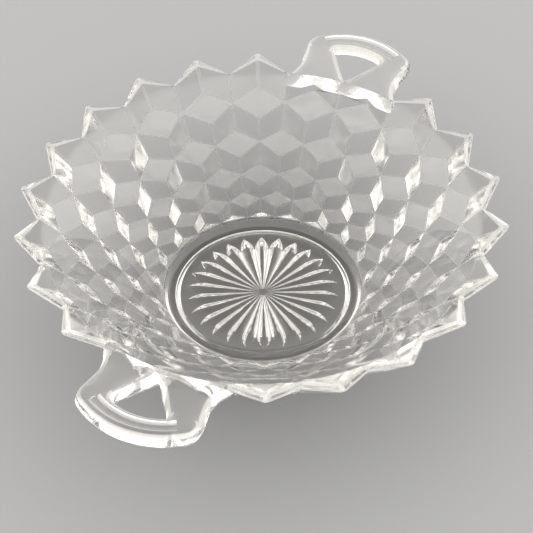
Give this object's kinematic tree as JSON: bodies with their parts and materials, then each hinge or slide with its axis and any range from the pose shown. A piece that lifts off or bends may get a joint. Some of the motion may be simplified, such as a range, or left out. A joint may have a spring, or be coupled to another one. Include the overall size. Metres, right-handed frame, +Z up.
{
  "type": "two-handled bowl",
  "caption": "Low flared bowl of clear pressed glass with a stepped cube relief outside, a toothed rim, two open loop handles, a foot ring and a star pressed under the floor.",
  "frame": {"origin": "centre of the foot ring's resting face", "axes": "+Z up along the bowl's axis, +X through both handles"},
  "size_m": [0.2676, 0.216, 0.0615],
  "materials": {
    "glass": "fire-polished clear pressed glass"
  },
  "bodies": {
    "root": {"bowl_wall": "glass", "floor_disc": "glass", "foot_ring": "glass", "handle_right": "glass", "handle_left": "glass"}
  },
  "joints": []
}
